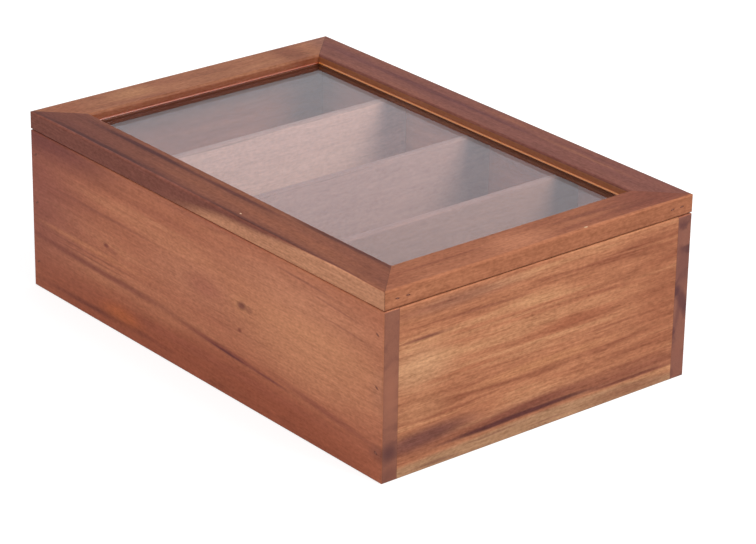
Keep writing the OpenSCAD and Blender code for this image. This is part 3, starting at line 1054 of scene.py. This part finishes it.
@dataclass
class Box:
    """The four walls, the base panel and the dividers. Sizes are millimetres."""

    length: float = 319.8
    width: float = 215.8
    height: float = 97.2
    wall: float = 10.0
    divider_count: int = 3
    divider_first: float = -73.2
    divider_pitch: float = 75.2
    divider_thick: float = 5.0
    divider_long: float = 199.6
    divider_low: float = 4.0
    divider_high: float = 96.7
    divider_arris: float = 0.8

    def dress(self, groups: ShaderGroups) -> None:
        """Gives every wooden piece of the box its finish."""
        half_l, half_w = self.length / 2, self.width / 2
        low, high = (-half_l, -half_w, 0.0), (half_l, half_w, self.height)
        corner = (((0.0, 1.0, 0.0), half_w - self.wall),)
        marks = tuple(
            Patch((half_l - self.wall / 2, half_w, z), (2.2, 3.0, 0.9), (84, 42, 36), 0.85, (0, 30, 0), 0.2)
            for z in WALL_BRADS
        )
        walls = {
            "front_wall": WoodFinish(
                "front_wall_wood", Axis.X, (204, 134, 98), (186, 113, 83), (156, 88, 66), low, high,
                offset=(0, 40, 0), band_width=13, marks=marks, patches=self._front_patches(),
                end_tint=(134, 87, 72), ring_tint=(100, 58, 54), ring_strength=0.35, ring_width=9,
                end_patches=(
                    Patch((half_l, -103, 50), (3, 9, 27), (164, 105, 82), 0.8),
                    Patch((half_l, -103, 17), (3, 9, 8), (96, 57, 54), 0.85),
                    Patch((half_l, -103, 4), (3, 9, 6), (120, 74, 62), 0.6),
                ),
            ),
            "back_wall": WoodFinish(
                "back_wall_wood", Axis.X, (194, 126, 92), (172, 102, 76), (132, 74, 58), low, high,
                offset=(300, 90, 55), band_width=13, marks=marks,
                end_tint=(137, 90, 77), ring_tint=(82, 46, 50), ring_strength=0.85, ring_width=15,
                pith=(0, 118, 40),
                end_patches=(
                    Patch((half_l, 103, 66), (3, 9, 16), (118, 74, 68), 0.6, (0, 0, 0), 0.3),
                    Patch((half_l, 104, 46), (3, 5, 14), (92, 54, 56), 0.8, (25, 0, 0), 0.3),
                    Patch((half_l, 101, 40), (3, 3, 18), (108, 66, 62), 0.6, (-12, 0, 0)),
                    Patch((half_l, 103, 18), (3, 9, 9), (150, 95, 77), 0.6),
                ),
            ),
            "right_wall": WoodFinish(
                "right_wall_wood", Axis.Y, (208, 150, 108), (184, 119, 85), (142, 80, 56), low, high,
                offset=(10, 500, 20), band_width=7, band_contrast=0.6, lines=0.85, fibres=0.6, flecks=0.75, pores=0.3,
                patches=self._right_patches(), end_amount=0.0, joints=corner,
            ),
            "left_wall": WoodFinish(
                "left_wall_wood", Axis.Y, (190, 124, 92), (168, 102, 76), (134, 78, 60), low, high,
                offset=(210, 20, 140), band_width=11, band_contrast=0.35, end_amount=0.0, joints=corner,
            ),
        }
        for node, finish in walls.items():
            dress(node, finish.build(groups))
        ply = WoodFinish(
            "base_plywood", Axis.X, (206, 172, 128), (192, 152, 108), (160, 118, 80),
            (-154.7, -102.7, 0), (154.7, 102.7, 4), offset=(0, 0, 400), band_width=20, band_contrast=0.4,
            wear=0.1, roughness=0.62, end_tint=(170, 130, 92), ring_tint=(130, 92, 62),
        )
        dress("base_panel", ply.build(groups))

    @staticmethod
    def _front_patches() -> tuple[Patch, ...]:
        """Streaks, knots and tones of the front wall, each placed on its face."""
        face = -107.9
        return (
            Patch((100, face, 57), (105, THROUGH, 42), (216, 147, 107), 0.7),
            Patch((85, face, 82), (110, THROUGH, 20), (216, 146, 112), 0.45),
            Patch((-5, face, 60), (66, THROUGH, 26), (212, 144, 110), 0.35),
            Patch((-170, face, 60), (95, THROUGH, 80), (142, 76, 66), 0.75),
            Patch((-150, face, 94), (110, THROUGH, 15), (118, 58, 54), 0.8),
            Patch((0, face, 99), (110, THROUGH, 8), (158, 88, 72), 0.5),
            Patch((0, face, 2), (290, THROUGH, 36), (157, 80, 54), 0.85, (0, 0, 0), 0.3),
            Patch((-20, face, 73), (90, THROUGH, 8), (206, 134, 98), 0.6),
            Patch((-95, face, 67.7), (75, THROUGH, 1.6), (138, 76, 62), 0.5),
            Patch((8, face, 58), (26, THROUGH, 10), (168, 94, 76), 0.5),
            Patch((-100, face, 43), (75, THROUGH, 2.6), (204, 130, 92), 0.6),
            Patch((-110, face, 39.5), (70, THROUGH, 0.9), (138, 76, 62), 0.5),
            Patch((-105, face, 36.5), (60, THROUGH, 0.8), (138, 76, 62), 0.5),
            Patch((-95, face, 32), (110, THROUGH, 3.4), (130, 66, 54), 0.75, (0, 1.2, 0), 0.2),
            Patch((24, face, 26.4), (62, THROUGH, 2.6), (128, 62, 52), 0.75, (0, 3.4, 0), 0.2),
            Patch((28, face, 25.4), (26, THROUGH, 1.1), (96, 44, 46), 0.85, (0, 3.4, 0)),
            Patch((66, face, 23.4), (24, THROUGH, 1.3), (116, 56, 54), 0.7, (0, 2.0, 0)),
            Patch((115, face, 23.5), (62, THROUGH, 3.0), (142, 74, 60), 0.6, (0, 5.0, 0)),
            Patch((0, face, 16), (240, THROUGH, 5), (158, 83, 63), 0.4),
            Patch((-90, face, 7), (85, THROUGH, 3.0), (100, 46, 38), 0.6),
            Patch((-72, face, 12), (28, THROUGH, 9), (210, 112, 56), 0.4),
            Patch((95, face, 91), (40, THROUGH, 1.0), (140, 80, 66), 0.55, (0, 3, 0)),
            Patch((122, face, 85), (34, THROUGH, 1.0), (150, 86, 68), 0.5, (0, 4, 0)),
            Patch((130, face, 76), (30, THROUGH, 0.8), (150, 88, 70), 0.45, (0, 4, 0)),
            Patch((41.7, face, 59), (13, THROUGH, 8), (206, 138, 98), 0.5),
            Patch((41.7, face, 59), (5.6, THROUGH, 3.2), (118, 62, 52), 0.85, (0, -6, 0), 0.25),
            Patch((48.0, face, 58.4), (4.4, THROUGH, 3.0), (134, 76, 60), 0.5, (0, 0, 0), 0.3),
            Patch((39.7, face, 43.4), (2.8, THROUGH, 1.9), (128, 64, 52), 0.8, (0, 0, 0), 0.2),
            Patch((-85.7, face, 50.4), (3.6, THROUGH, 2.0), (118, 54, 48), 0.85, (0, 0, 0), 0.2),
            Patch((-80, face, 49), (10, THROUGH, 2.6), (146, 78, 60), 0.5, (0, 8, 0)),
            Patch((157, face + 4, 17), (12, 7, 8), (84, 44, 44), 0.85),
            Patch((157, face + 4, 52), (12, 7, 24), (176, 118, 92), 0.7),
        )

    @staticmethod
    def _right_patches() -> tuple[Patch, ...]:
        """Streaks and tones of the right wall, each placed on its face."""
        face = 159.9
        return (
            Patch((face, -84, 60), (THROUGH, 34, 19), (210, 156, 116), 0.8),
            Patch((face, -84, 36), (THROUGH, 30, 13), (204, 144, 104), 0.5),
            Patch((face, -80, 76), (THROUGH, 24, 1.5), (120, 66, 56), 0.8),
            Patch((face, -40, 82), (THROUGH, 40, 1.3), (146, 86, 66), 0.6, (-2, 0, 0)),
            Patch((face, -55, 92), (THROUGH, 66, 6), (142, 88, 72), 0.65),
            Patch((face, 35, 86), (THROUGH, 46, 1.5), (150, 86, 62), 0.6, (1, 0, 0)),
            Patch((face, 20, 57), (THROUGH, 46, 7), (160, 90, 62), 0.6),
            Patch((face, 45, 68), (THROUGH, 40, 1.4), (150, 84, 60), 0.6, (-1, 0, 0)),
            Patch((face, -50, 50), (THROUGH, 50, 2.6), (160, 90, 62), 0.65),
            Patch((face, 55, 46), (THROUGH, 50, 1.6), (146, 82, 58), 0.6),
            Patch((face, 88, 52), (THROUGH, 34, 50), (158, 92, 64), 0.6),
            Patch((face, 0, 38), (THROUGH, 70, 5), (206, 142, 98), 0.55),
            Patch((face, -60, 30), (THROUGH, 36, 1.4), (150, 86, 62), 0.6, (2, 0, 0)),
            Patch((face, 0, 14), (THROUGH, 220, 9), (146, 86, 66), 0.5, (0, 0, 0), 0.3),
            Patch((face, -80, 19), (THROUGH, 50, 8), (112, 66, 60), 0.85, (3, 0, 0), 0.2),
            Patch((face, -10, 14.5), (THROUGH, 66, 5), (124, 68, 54), 0.8, (1.5, 0, 0), 0.2),
            Patch((face, 60, 13), (THROUGH, 60, 3.6), (138, 78, 58), 0.7),
            Patch((face, -10, 0), (THROUGH, 150, 9.4), (180, 138, 104), 0.85, (0, 0, 0), 0.7),
            Patch((face, -14, 11.2), (THROUGH, 78, 2.2), (88, 44, 42), 0.95, (0, 0, 0), 0.35),
            Patch((face, 66, 9.8), (THROUGH, 46, 1.6), (118, 62, 50), 0.85, (0, 0, 0), 0.3),
            Patch((face, 66, 3), (THROUGH, 48, 6.0), (146, 92, 68), 0.75),
            Patch((face, -72, 2.6), (THROUGH, 24, 2.0), (136, 94, 74), 0.75),
            Patch((face, -30, 6.2), (THROUGH, 34, 1.0), (144, 98, 76), 0.7),
            Patch((face, 10, 2.4), (THROUGH, 30, 0.9), (140, 94, 72), 0.7),
        )

    def build_dividers(self, groups: ShaderGroups, grown: GrownShapes) -> None:
        """Makes the three dividers as one row of boards with softened arrises, in pale wood, with painted shade on the
        middle and right boards and on their tops.

        Args:
            groups: The shared shader groups.
            grown: The shared geometry trees.
        """
        pale = WoodFinish(
            "divider_wood_pale", Axis.Y, (246, 206, 180), (234, 190, 164), (206, 160, 136),
            (-100, -99.8, 4), (100, 99.8, self.divider_high), offset=(70, 33, 12), band_width=16,
            band_contrast=0.3, lines=0.38, fibres=0.32, flecks=0.5, mottle=0.15, pores=0.1, wear=0.0, roughness=0.6,
            end_tint=(170, 130, 104), ring_tint=(140, 100, 80),
            patches=(
                # Painted shade: the middle and the right board are tinted darker, as less light reaches them.
                Patch((2, 0, 50), (20, 200, 150), (196, 150, 130), 0.92, core=0.6),
                Patch((77.2, 0, 50), (20, 200, 150), (178, 130, 106), 0.95, core=0.6),
                # Painted shade: the tops of the boards are tinted darker, down to the brightness of the lit faces.
                Patch((0, 0, self.divider_high + 0.4), (600, 600, 1.2), (168, 126, 106), 0.8, core=0.5),
            ),
        ).build(groups)
        middle = (self.divider_low + self.divider_high) / 2
        grown.grow(
            "divider_boards",
            grown.boards,
            {
                "Count": self.divider_count,
                "First": (self.divider_first * MM, 0.0, middle * MM),
                "Pitch": self.divider_pitch * MM,
                "Thickness": self.divider_thick * MM,
                "Long": self.divider_long * MM,
                "Height": (self.divider_high - self.divider_low) * MM,
                "Arris": self.divider_arris * MM,
                "Finish": pale,
            },
            (),
            BodyName.BOX,
            Slot.DIVIDER,
            ("divider_left", "divider_middle", "divider_right"),
        )


@dataclass
class Lid:
    """The mitred frame of the lid and its pane. Sizes are millimetres."""

    length: float = 320.0
    width: float = 216.0
    low: float = 97.6
    high: float = 108.4

    def dress(self, groups: ShaderGroups) -> None:
        """Gives the rails and the pane their finish."""
        half_l, half_w = self.length / 2, self.width / 2
        shared = {
            "low": (-half_l, -half_w, self.low),
            "high": (half_l, half_w, self.high),
            "joints": (((1.0, -1.0, 0.0), half_l - half_w),),
            "end_amount": 0.0,
            "shine": 0.07,
            "lines": 0.6,
            "fibres": 0.45,
            "flecks": 0.8,
            "wear": 0.05,
        }
        marks = tuple(
            Patch((half_l, y, LID_BRAD_HEIGHT), (3.0, 1.8, 0.55), (84, 46, 38), 0.9, (8, 0, 0), 0.6)
            for y in LID_BRADS
        )
        # Each lip tint is the varnish's colour and also painted light and shade: the back rail's lip is painted lighter
        # and the left rail's darker and deeper orange, after the light that falls on each.
        rails = {
            "lid_front_rail": WoodFinish(
                "lid_front_rail_wood", Axis.X, (140, 84, 60), (123, 71, 53), (91, 48, 41), **shared,
                offset=(40, 12, 60), band_width=11, patches=self._front_patches(), lip_tint=(176, 98, 52),
            ),
            "lid_back_rail": WoodFinish(
                "lid_back_rail_wood", Axis.X, (136, 82, 66), (121, 72, 62), (100, 56, 54), **shared,
                offset=(500, 70, 8), band_width=9, patches=self._back_patches(), lip_tint=(221, 132, 62),
            ),
            "lid_left_rail": WoodFinish(
                "lid_left_rail_wood", Axis.Y, (168, 114, 82), (153, 98, 72), (126, 73, 56), **shared,
                offset=(22, 300, 4), band_width=10, marks=marks, patches=self._left_patches(), lip_tint=(150, 58, 12),
            ),
            "lid_right_rail": WoodFinish(
                "lid_right_rail_wood", Axis.Y, (166, 106, 77), (151, 91, 64), (118, 62, 47), **shared,
                offset=(90, 77, 31), band_width=10, marks=marks, patches=self._right_patches(), lip_tint=(176, 100, 54),
            ),
        }
        for node, finish in rails.items():
            dress(node, finish.build(groups))
        dress("window_pane", PaneFinish().build())

    @staticmethod
    def _front_patches() -> tuple[Patch, ...]:
        """Streaks of the front rail: two dark ones on its top, and a dark and a tan part of its outer face. The outer
        face's own tone, set apart from the top's, is partly painted light.
        """
        top, face = 108.4, -108.0
        return (
            Patch((-130, -97, top), (110, 30, 40), (106, 58, 48), 0.75),
            Patch((60, -97, top), (110, 6, 40), (141, 83, 59), 0.6),
            Patch((-70, -89.4, top), (80, 3.2, 40), (70, 33, 34), 0.92, (0, 0, 0.3), 0.2),
            Patch((10, -89.2, top), (60, 2.8, 40), (82, 40, 36), 0.88, (0, 0, 1.0), 0.2),
            Patch((100, -85.4, top), (75, 2.6, 40), (80, 42, 38), 0.9, (0, 0, 0), 0.2),
            Patch((-90, -106.4, top), (100, 4.0, 3.0), (70, 34, 34), 0.9, (0, 0, 0), 0.2),
            Patch((60, -106.6, top), (110, 3.0, 3.0), (80, 40, 36), 0.85, (0, 0, 0), 0.2),
            # Outer face's own tone: wood tone and partly painted light, the side kept lighter than the top.
            Patch((0, face, 103), (400, 1.8, 12), (130, 76, 64), 0.9, (0, 0, 0), 0.6),
            Patch((94, face, 91), (142, 1.7, 19), (200, 138, 105), 0.98, (0, 0, 0), 0.75),
            Patch((135, face, 103), (80, 1.7, 14), (202, 140, 106), 0.98, (0, 0, 0), 0.6),
            Patch((34.5, -103.5, top), (0.9, 0.5, 2), (232, 196, 164), 0.95, (0, 0, 0), 0.5),
        )

    @staticmethod
    def _back_patches() -> tuple[Patch, ...]:
        """Warmer and darker streaks on the top of the back rail."""
        top = 108.4
        return (
            Patch((20, 103, top), (34, 3, 40), (146, 90, 68), 0.55),
            Patch((75, 98, top), (60, 2.6, 40), (146, 92, 70), 0.6),
            Patch((-20, 97, top), (120, 2.2, 40), (98, 56, 56), 0.55),
            Patch((90, 102, top), (60, 2.0, 40), (106, 60, 54), 0.6),
            Patch((90, 88, top), (70, 2.0, 40), (108, 62, 54), 0.5),
            Patch((-125, 98, top), (50, 7, 40), (104, 60, 58), 0.6),
        )

    @staticmethod
    def _left_patches() -> tuple[Patch, ...]:
        """Darker ends and a pale middle on the top of the left rail."""
        top = 108.4
        return (
            Patch((-147, 71, top), (30, 16, 40), (120, 68, 52), 0.7),
            Patch((-147, 102, top), (30, 18, 40), (132, 88, 78), 0.7),
            Patch((-150, -45, top), (12, 26, 40), (172, 120, 86), 0.7),
            Patch((-147, -92, top), (30, 22, 40), (146, 86, 62), 0.6),
            Patch((-150, 12, top), (3, 30, 40), (130, 80, 60), 0.5),
        )

    @staticmethod
    def _right_patches() -> tuple[Patch, ...]:
        """Soft streaks on the top of the right rail, and its even tan outer face, which is the wood's tone and partly
        painted light that keeps the side lighter than the top.
        """
        top = 108.4
        return (
            Patch((152, -12, top), (20, 34, 40), (174, 112, 82), 0.85),
            Patch((147, 92, top), (40, 58, 40), (118, 62, 48), 0.9),
            Patch((146, 45, top), (3.4, 42, 40), (108, 56, 44), 0.6, (0, 0, -2)),
            Patch((152, 70, top), (2.4, 34, 40), (108, 56, 44), 0.5),
            Patch((143, 10, top), (2.2, 40, 40), (140, 82, 58), 0.5),
            Patch((147, -98, top), (30, 24, 40), (142, 82, 58), 0.7),
            # Outer face's own tone: wood tone and partly painted light, the side kept lighter than the top.
            Patch((160, 0, 103), (1.8, 500, 12), (172, 108, 77), 0.9, (0, 0, 0), 0.6),
            Patch((160, -90, 103), (1.6, 64, 6), (190, 124, 90), 0.75),
            Patch((160, 60, 101.5), (1.6, 70, 2), (150, 90, 64), 0.6),
            Patch((159.4, 29.5, top), (0.6, 1.6, 2), (240, 212, 176), 0.95, (0, 0, 0), 0.5),
        )


class HingePart(Enum):
    """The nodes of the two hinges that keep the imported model's shape."""

    LEFT_BOX = "left_hinge_box_leaf"
    LEFT_LID = "left_hinge_lid_leaf"
    RIGHT_BOX = "right_hinge_box_leaf"
    RIGHT_LID = "right_hinge_lid_leaf"


@dataclass(frozen=True)
class Fastener:
    """Sizes of one turned kind of screw, brad, pin or plug, in millimetres."""

    head_radius: float
    head_depth: float
    dome: float
    shank_radius: float
    length: float
    tip: float
    thread: float = 0.0
    pitch: float = 1.0
    recess: bool = False
    sides: int = 13
    rows: int = 24

    def values(self, finish: bpy.types.Material, seed: int) -> dict[str, object]:
        """Returns the inputs of the fastener tree, with lengths in metres."""
        return {
            "Head Radius": self.head_radius * MM,
            "Head Depth": self.head_depth * MM,
            "Dome": self.dome * MM,
            "Shank Radius": self.shank_radius * MM,
            "Length": self.length * MM,
            "Tip": self.tip * MM,
            "Thread": self.thread * MM,
            "Pitch": self.pitch * MM,
            "Recess": self.recess,
            "Sides": self.sides,
            "Rows": self.rows,
            "Seed": seed,
            "Finish": finish,
        }


Spot = tuple[Triple, Triple]


@dataclass
class Hardware:
    """Hinges, screws, brads and the putty over them. Sizes are millimetres."""

    screw: Fastener = Fastener(1.9, 1.0, 0.0, 1.0, 7.0, 1.6, 0.26, 0.95, True, 17, 72)
    wall_brad: Fastener = Fastener(0.6, 0.5, 0.0, 0.5, 22.0, 1.4)
    base_brad: Fastener = Fastener(0.6, 0.5, 0.0, 0.5, 14.0, 1.4)
    plug: Fastener = Fastener(0.62, 0.2, -0.06, 0.56, 0.5, 0.05)
    pin: Fastener = Fastener(1.0, 0.4, 0.3, 1.0, 29.7, 0.3, sides=25)
    sunk: float = 0.6
    hinge_x: float = 99.9
    screw_x: float = 9.0
    screw_y: float = 104.4
    rim_z: float = 97.2
    lid_z: float = 97.6
    pin_half: float = 14.7
    pin_y: float = 110.3
    pin_z: float = 97.4
    wall_brad_x: float = 154.9
    wall_face: float = 107.9
    lid_face: float = 160.0
    long_brads_x: tuple[float, ...] = (-119.9, -39.97, 39.97, 119.9)
    long_brads_y: float = 100.4
    short_brads_x: float = 152.4
    short_brads_y: float = 67.9

    def dress(self, groups: ShaderGroups) -> dict[str, bpy.types.Material]:
        """Gives the hinge leaves their finish.

        Args:
            groups: The shared shader groups.

        Returns:
            The finishes of the small turned pieces, by name.
        """
        finishes = {
            "brass": MetalFinish("satin_brass", (190, 154, 94), (128, 92, 52), roughness=0.46).build(groups),
            "steel": MetalFinish("brad_steel", (150, 142, 136), (84, 70, 60), roughness=0.42).build(groups),
            "putty": MetalFinish("brad_putty", (130, 76, 58), (100, 56, 42), roughness=0.6, metallic=0.0).build(groups),
        }
        for part in HingePart:
            dress(part.value, finishes["brass"])
        return finishes

    def build(self, finishes: dict[str, bpy.types.Material], grown: GrownShapes) -> None:
        """Turns every screw, brad, plug and pin.

        Args:
            finishes: The finishes by name.
            grown: The shared geometry trees.
        """
        screws_x = [side * self.hinge_x + step for side in (-1, 1) for step in (-self.screw_x, self.screw_x)]
        sets = (
            ("box_screws", self.screw, "brass", [((x, self.screw_y, self.rim_z), (0, 0, 1)) for x in screws_x],
             BodyName.BOX, Slot.BRASS, ("box_hinge_screws",)),
            ("lid_screws", self.screw, "brass", [((x, self.screw_y, self.lid_z), (0, 0, -1)) for x in screws_x],
             BodyName.LID, Slot.BRASS, ("lid_hinge_screws",)),
            ("hinge_pins", self.pin, "brass",
             [((side * self.hinge_x + self.pin_half, self.pin_y, self.pin_z), (1, 0, 0)) for side in (-1, 1)],
             BodyName.BOX, Slot.BRASS, ("left_hinge_pin", "right_hinge_pin")),
            ("turned_wall_brads", self.wall_brad, "steel", self._wall_spots(self.sunk),
             BodyName.BOX, Slot.STEEL, ("wall_brads",)),
            ("turned_lid_brads", self.wall_brad, "steel", self._lid_spots(self.sunk),
             BodyName.LID, Slot.STEEL, ("lid_brads",)),
            ("turned_base_brads", self.base_brad, "steel", self._base_spots(),
             BodyName.BOX, Slot.STEEL, ("base_brads",)),
            ("wall_plugs", self.plug, "putty", self._wall_spots(0.0), BodyName.BOX, Slot.WALL, ()),
            ("lid_plugs", self.plug, "putty", self._lid_spots(0.0), BodyName.LID, Slot.RAIL, ()),
        )
        for seed, (name, kind, finish, spots, body, slot, nodes) in enumerate(sets):
            grown.grow(name, grown.fastener, kind.values(finishes[finish], seed), spots, body, slot, nodes)

    def _wall_spots(self, sunk: float) -> list[Spot]:
        """Returns the heads of the brads through the front and back walls, sunk below the faces."""
        return [
            ((side * self.wall_brad_x, out * (self.wall_face - sunk), z), (0, out, 0))
            for out in (-1, 1) for side in (-1, 1) for z in WALL_BRADS
        ]

    def _lid_spots(self, sunk: float) -> list[Spot]:
        """Returns the heads of the brads through the mitres, sunk below the short faces of the lid."""
        return [
            ((side * (self.lid_face - sunk), end * y, LID_BRAD_HEIGHT), (side, 0, 0))
            for side in (-1, 1) for end in (-1, 1) for y in LID_BRADS
        ]

    def _base_spots(self) -> list[Spot]:
        """Returns the heads of the brads up through the base panel."""
        long = [(x, side * self.long_brads_y) for side in (-1, 1) for x in self.long_brads_x]
        short = [(side * self.short_brads_x, end * self.short_brads_y) for side in (-1, 1) for end in (-1, 1)]
        return [((x, y, self.sunk), (0, 0, -1)) for x, y in long + short]


@dataclass
class Studio:
    """Floor, world, lamps and camera. Places and the lamps' sizes are metres, angles are degrees."""

    floor_half: float = 6.0
    floor_drop: float = 0.05
    floor_tone: float = 0.5
    floor_glow: float = 0.74
    soft_light: float = 0.45
    white: float = 1.0
    aim_height: float = 0.06
    lens: float = 150.97
    azimuth: float = 50.353
    elevation: float = 23.681
    roll: float = 0.97
    place: Triple = (1.27279, -1.0347, 0.75474)
    lamps: dict[str, tuple[Triple, float, float]] = field(
        default_factory=lambda: {
            "key": ((1.42, 0.7, 1.7), 1.3, 36.5),
            "front_fill": ((0.2, -2.2, 1.5), 1.8, 22.0),
        }
    )

    def build(self) -> None:
        """Builds the whole studio."""
        self._floor()
        self._world()
        for name, (place, size, power) in self.lamps.items():
            self._lamp(name, Vector(place), size, power)
        self._camera()

    @staticmethod
    def _seen(graph: Graph) -> Socket:
        """Returns 1 for rays that show the background: from the camera, mirrored or through glass."""
        path = graph.add("ShaderNodeLightPath").outputs
        seen = graph.math("MAXIMUM", path["Is Camera Ray"], path["Is Glossy Ray"])
        return graph.math("MAXIMUM", seen, path["Is Transmission Ray"])

    def _floor(self) -> None:
        """Lays a pale floor that keeps the soft shadow of the box."""
        half = self.floor_half
        mesh = bpy.data.meshes.new("floor")
        corners = [(-half, -half), (half, -half), (half, half), (-half, half)]
        mesh.from_pydata([(x, y, -self.floor_drop * MM) for x, y in corners], [], [(0, 1, 2, 3)])
        floor = bpy.data.objects.new("floor", mesh)
        bpy.context.scene.collection.objects.link(floor)
        material = bpy.data.materials.new("pale_floor")
        graph = fresh_graph(material)
        matt = graph.add("ShaderNodeBsdfDiffuse", {"Color": (*(self.floor_tone,) * 3, 1)})
        glow = graph.add("ShaderNodeEmission", {"Color": (1, 1, 1, 1)})
        graph.feed(glow.inputs["Strength"], graph.times(self._seen(graph), self.floor_glow))
        both = graph.add("ShaderNodeAddShader", {0: matt.outputs[0], 1: glow.outputs[0]})
        graph.add("ShaderNodeOutputMaterial", {"Surface": both.outputs[0]})
        mesh.materials.append(material)

    def _world(self) -> None:
        """Sets a white background over a plain soft ambient light."""
        world = bpy.data.worlds.new("studio")
        bpy.context.scene.world = world
        graph = fresh_graph(world)
        soft = graph.add("ShaderNodeBackground", {"Color": (0.96, 0.98, 1.0, 1), "Strength": self.soft_light})
        white = graph.add("ShaderNodeBackground", {"Color": (1, 1, 1, 1), "Strength": self.white})
        mixed = graph.add("ShaderNodeMixShader", {0: self._seen(graph), 1: soft.outputs[0], 2: white.outputs[0]})
        graph.add("ShaderNodeOutputWorld", {"Surface": mixed.outputs[0]})

    def _lamp(self, name: str, place: Vector, size: float, power: float) -> None:
        """Hangs one square soft lamp that faces the box.

        Args:
            name: Name of the lamp.
            place: Where it hangs.
            size: Length of its side.
            power: Its power in watts.
        """
        light = bpy.data.lights.new(name, "AREA")
        light.size = size
        light.energy = power
        lamp = bpy.data.objects.new(name, light)
        lamp.location = place
        lamp.rotation_euler = (Vector((0, 0, self.aim_height)) - place).to_track_quat("-Z", "Y").to_euler()
        bpy.context.scene.collection.objects.link(lamp)

    def _camera(self) -> None:
        """Sets the camera at the viewing angle of the photograph."""
        azimuth, elevation, roll = (math.radians(x) for x in (self.azimuth, self.elevation, self.roll))
        back = Vector(
            (math.sin(azimuth) * math.cos(elevation), -math.cos(azimuth) * math.cos(elevation), math.sin(elevation))
        )
        level = Vector((math.cos(azimuth), math.sin(azimuth), 0))
        upright = back.cross(level)
        right = math.cos(roll) * level + math.sin(roll) * upright
        up = math.cos(roll) * upright - math.sin(roll) * level
        data = bpy.data.cameras.new("camera")
        data.lens = self.lens
        data.sensor_width = 36.0
        data.clip_start, data.clip_end = 0.05, 50.0
        camera = bpy.data.objects.new("camera", data)
        bpy.context.scene.collection.objects.link(camera)
        turned = Matrix((right, up, back)).transposed().to_4x4()
        camera.matrix_world = Matrix.Translation(Vector(self.place)) @ turned
        bpy.context.scene.camera = camera


def main() -> None:
    """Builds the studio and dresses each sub-assembly."""
    logging.basicConfig(level=logging.INFO, format="%(name)s: %(message)s")
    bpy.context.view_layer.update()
    bpy.context.scene.view_settings.view_transform = "Standard"
    Studio().build()
    groups, grown = ShaderGroups(), GrownShapes()
    box, hardware = Box(), Hardware()
    box.dress(groups)
    box.build_dividers(groups, grown)
    Lid().dress(groups)
    hardware.build(hardware.dress(groups), grown)


if __name__ == "__main__":
    main()
